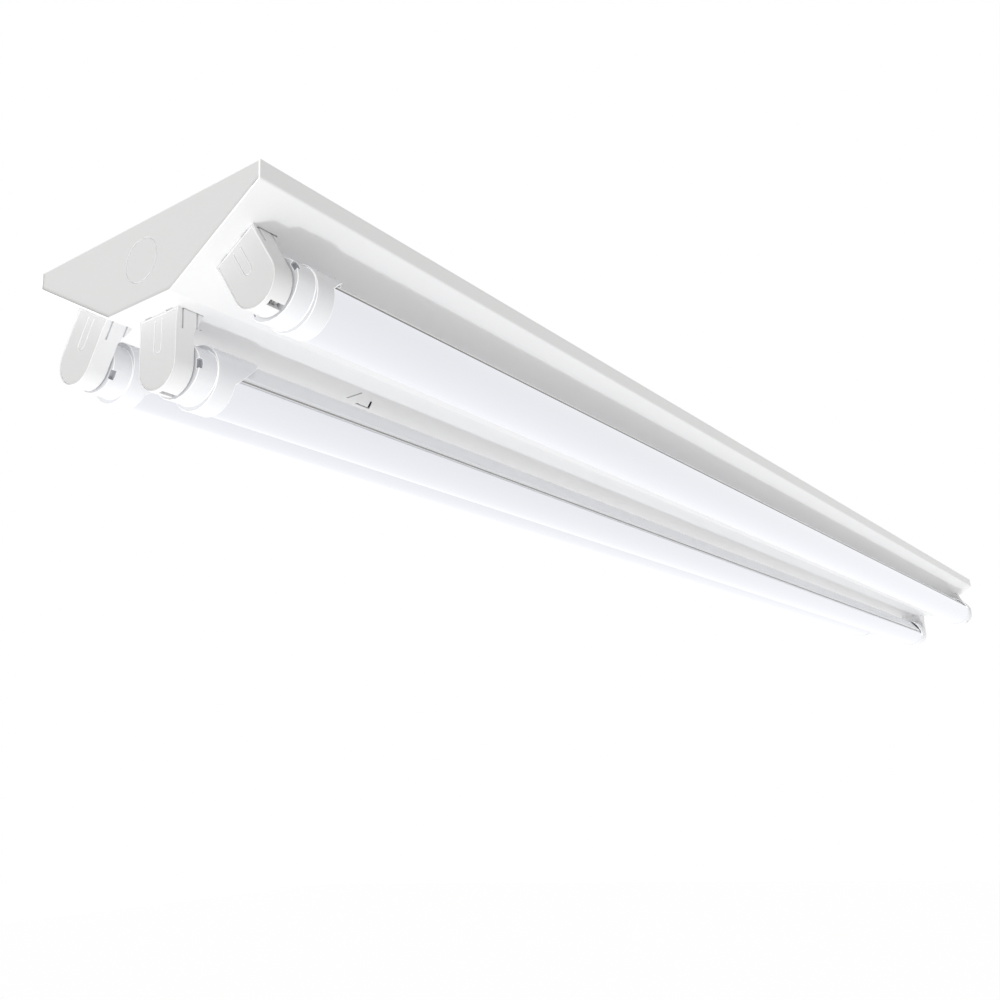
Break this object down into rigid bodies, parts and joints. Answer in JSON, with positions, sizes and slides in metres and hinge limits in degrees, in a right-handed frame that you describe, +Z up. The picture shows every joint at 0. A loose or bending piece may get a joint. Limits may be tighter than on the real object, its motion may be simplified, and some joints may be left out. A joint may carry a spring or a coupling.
{
  "type": "tube light fixture",
  "caption": "Surface-mounted batten ceiling light: a folded white reflector body with sloping sides that carries tube lamps in turn-to-lock holders.",
  "frame": {"origin": "middle of the face that bears on the ceiling", "axes": "+X along the lamps to the end that is far in the picture, +Z up out of the ceiling face, -Y to the picture's right"},
  "size_m": [1.242, 0.1516, 0.0803],
  "materials": {
    "white_sheet": "white powder coat, satin",
    "zinc_sheet": "galvanised, matt",
    "screw_steel": "zinc plated",
    "terminal_plastic": "matt",
    "bush_rubber": "matt",
    "wire_sheath": "satin",
    "opal_diffuser": "opal, satin",
    "sink_aluminium": "fine matt, extruded",
    "board_white": "solder mask, satin",
    "driver_board": "solder mask, satin",
    "pin_metal": "plated, bright",
    "cap_plastic": "white, glossy",
    "holder_plastic": "white, semi-gloss",
    "cover_plastic": "white, fine matt",
    "rotor_plastic": "white, fine matt",
    "contact_bronze": "spring bronze, plain"
  },
  "bodies": {
    "fixture": {"reflector_body": "white_sheet", "chassis_plate": "zinc_sheet", "end_plate_near": "white_sheet", "end_plate_far": "white_sheet", "bracket_near": "zinc_sheet", "bracket_far": "zinc_sheet", "terminal_block": "terminal_plastic", "earth_screw": "screw_steel", "cable_bush": "bush_rubber", "wiring_loom": "wire_sheath", "socket_housing_right_near": "holder_plastic", "socket_cover_right_near": "cover_plastic", "socket_contacts_right_near": "contact_bronze", "socket_housing_right_far": "holder_plastic", "socket_cover_right_far": "cover_plastic", "socket_contacts_right_far": "contact_bronze", "socket_housing_middle_near": "holder_plastic", "socket_cover_middle_near": "cover_plastic", "socket_contacts_middle_near": "contact_bronze", "socket_housing_middle_far": "holder_plastic", "socket_cover_middle_far": "cover_plastic", "socket_contacts_middle_far": "contact_bronze", "socket_housing_left_near": "holder_plastic", "socket_cover_left_near": "cover_plastic", "socket_contacts_left_near": "contact_bronze", "socket_housing_left_far": "holder_plastic", "socket_cover_left_far": "cover_plastic", "socket_contacts_left_far": "contact_bronze"},
    "lamp_right": {"tube_diffuser_right": "opal_diffuser", "tube_heat_sink_right": "sink_aluminium", "tube_led_board_right": "board_white", "tube_driver_right": "driver_board", "tube_caps_right": "cap_plastic", "tube_pins_right": "pin_metal", "socket_rotor_right_near": "rotor_plastic", "socket_rotor_right_far": "rotor_plastic"},
    "lamp_middle": {"tube_diffuser_middle": "opal_diffuser", "tube_heat_sink_middle": "sink_aluminium", "tube_led_board_middle": "board_white", "tube_driver_middle": "driver_board", "tube_caps_middle": "cap_plastic", "tube_pins_middle": "pin_metal", "socket_rotor_middle_near": "rotor_plastic", "socket_rotor_middle_far": "rotor_plastic"},
    "lamp_left": {"tube_diffuser_left": "opal_diffuser", "tube_heat_sink_left": "sink_aluminium", "tube_led_board_left": "board_white", "tube_driver_left": "driver_board", "tube_caps_left": "cap_plastic", "tube_pins_left": "pin_metal", "socket_rotor_left_near": "rotor_plastic", "socket_rotor_left_far": "rotor_plastic"}
  },
  "joints": [
    {"name": "lamp_right_turn", "type": "hinge", "parent": "fixture", "child": "lamp_right", "pos_m": [0, -0.06023, -0.04545], "axis": [1, 0, 0], "range_deg": [0, 90]},
    {"name": "lamp_middle_turn", "type": "hinge", "parent": "fixture", "child": "lamp_middle", "pos_m": [0, 0, -0.0648], "axis": [1, 0, 0], "range_deg": [0, 90]},
    {"name": "lamp_left_turn", "type": "hinge", "parent": "fixture", "child": "lamp_left", "pos_m": [0, 0.06023, -0.04545], "axis": [1, 0, 0], "range_deg": [0, 90]}
  ]
}
